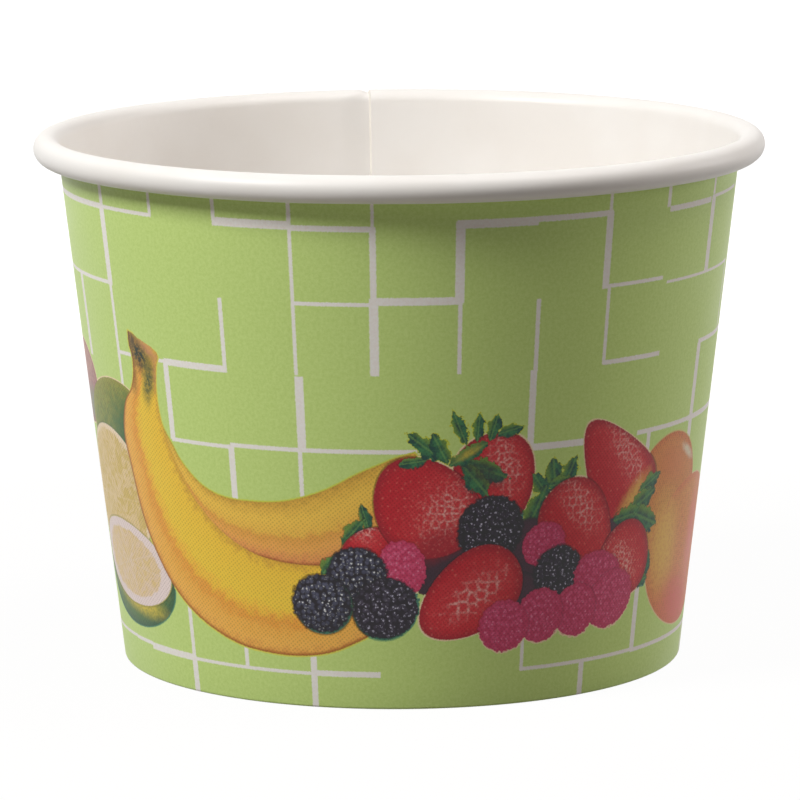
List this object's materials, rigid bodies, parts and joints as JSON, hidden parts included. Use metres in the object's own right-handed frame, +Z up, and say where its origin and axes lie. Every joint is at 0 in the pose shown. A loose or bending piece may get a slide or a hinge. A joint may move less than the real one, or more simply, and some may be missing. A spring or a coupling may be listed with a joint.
{
  "type": "paper dessert cup",
  "caption": "Tapered paper dessert cup with a rolled rim, a lapped side seam and a recessed floor held in a folded foot, printed with fruit on pale green.",
  "frame": {"origin": "centre of the foot, on the surface that the cup stands on", "axes": "+Z up along the cup's axis, -Y towards the front of the print, the seam at the back near +Y"},
  "size_m": [0.095, 0.095, 0.0688],
  "materials": {
    "printed_board": "satin coated cupstock, printed outside and white inside",
    "white_board": "satin coated cupstock"
  },
  "bodies": {
    "root": {"side_wall": "printed_board", "bottom_disc": "white_board"}
  },
  "joints": []
}
